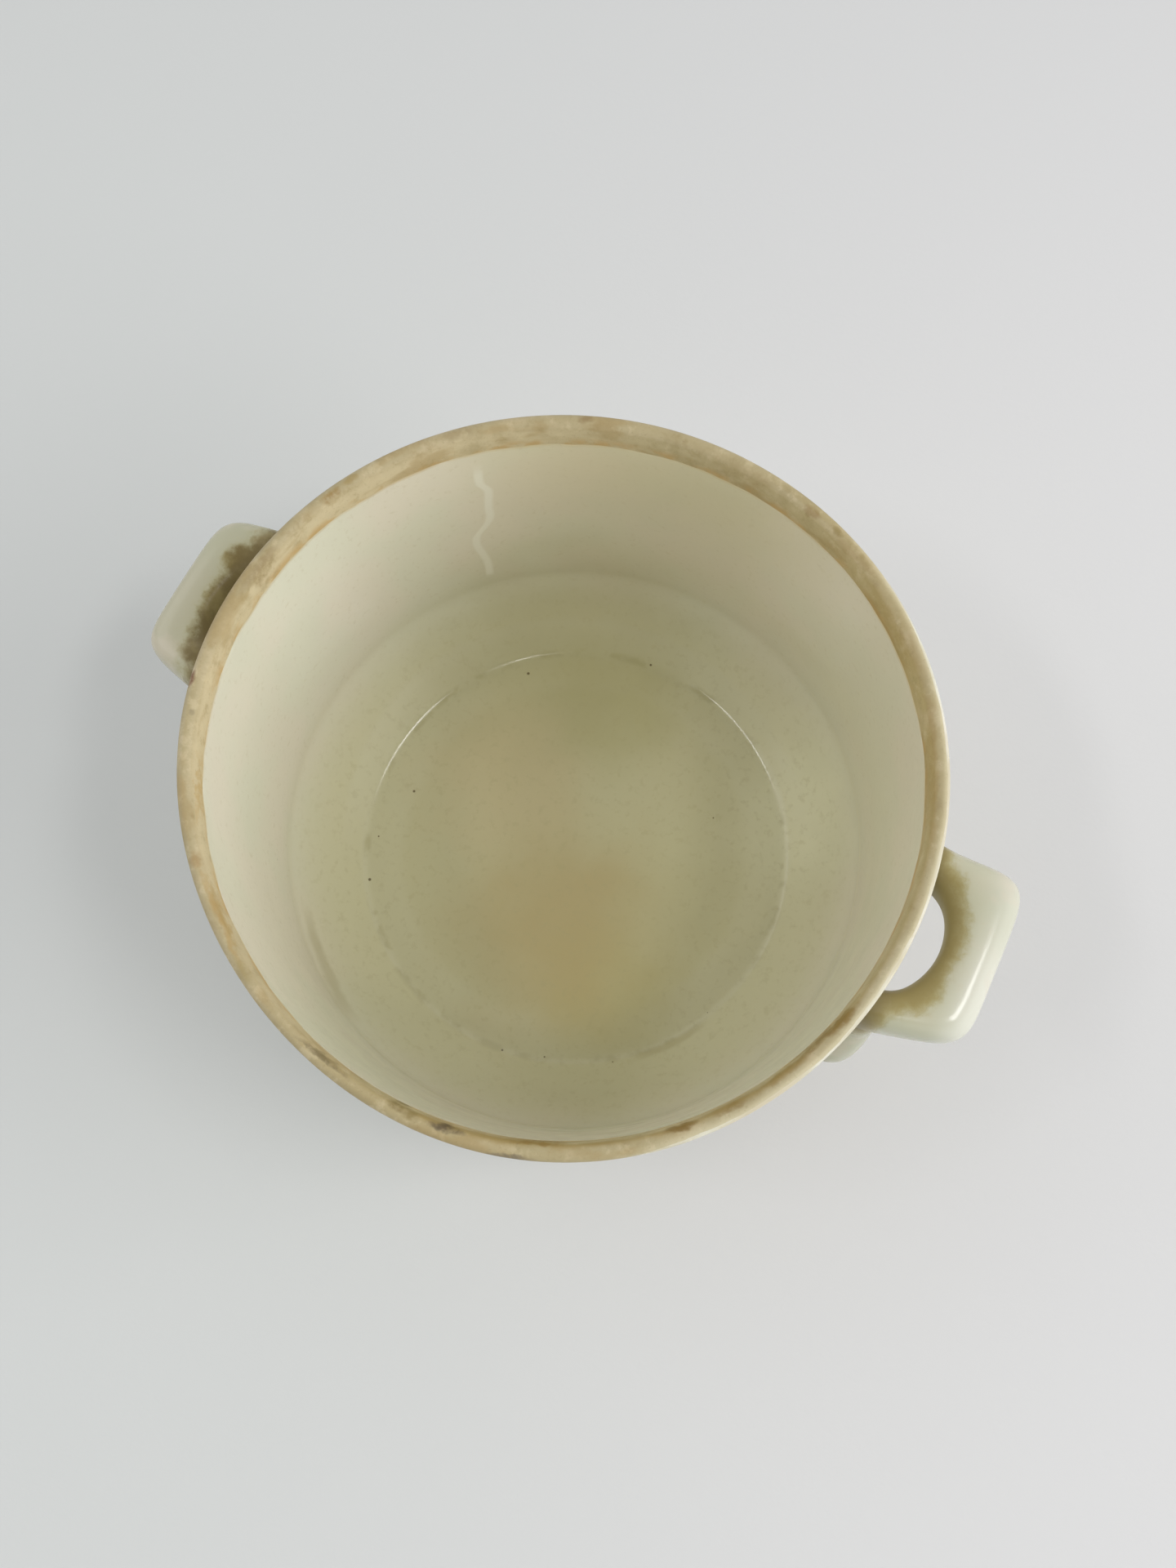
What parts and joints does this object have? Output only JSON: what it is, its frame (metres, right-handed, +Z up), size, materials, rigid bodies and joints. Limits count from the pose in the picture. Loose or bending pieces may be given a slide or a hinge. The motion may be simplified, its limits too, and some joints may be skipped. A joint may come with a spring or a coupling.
{
  "type": "cocotte",
  "caption": "Round glazed earthenware cooking pot, straight walled and open at the top, with a bare flat rim, pierced lug handles and a low foot ring; its lid is not included.",
  "frame": {"origin": "on the ground, under the centre of the foot ring", "axes": "+Z up along the pot's axis; +X towards the right handle; the handles lie along X"},
  "size_m": [0.2268, 0.18, 0.108],
  "materials": {
    "bare_clay": "matte",
    "inside_glaze": "gloss",
    "outside_glaze": "gloss",
    "slip": "matte"
  },
  "bodies": {
    "root": {"pot_body": "bare_clay", "inside_glaze": "inside_glaze", "outside_glaze": "outside_glaze", "base_glaze": "outside_glaze", "handle_right": "outside_glaze", "handle_left": "outside_glaze", "slip_joint_right_1": "slip", "slip_joint_right_2": "slip", "slip_joint_left_1": "slip", "slip_joint_left_2": "slip"}
  },
  "joints": []
}
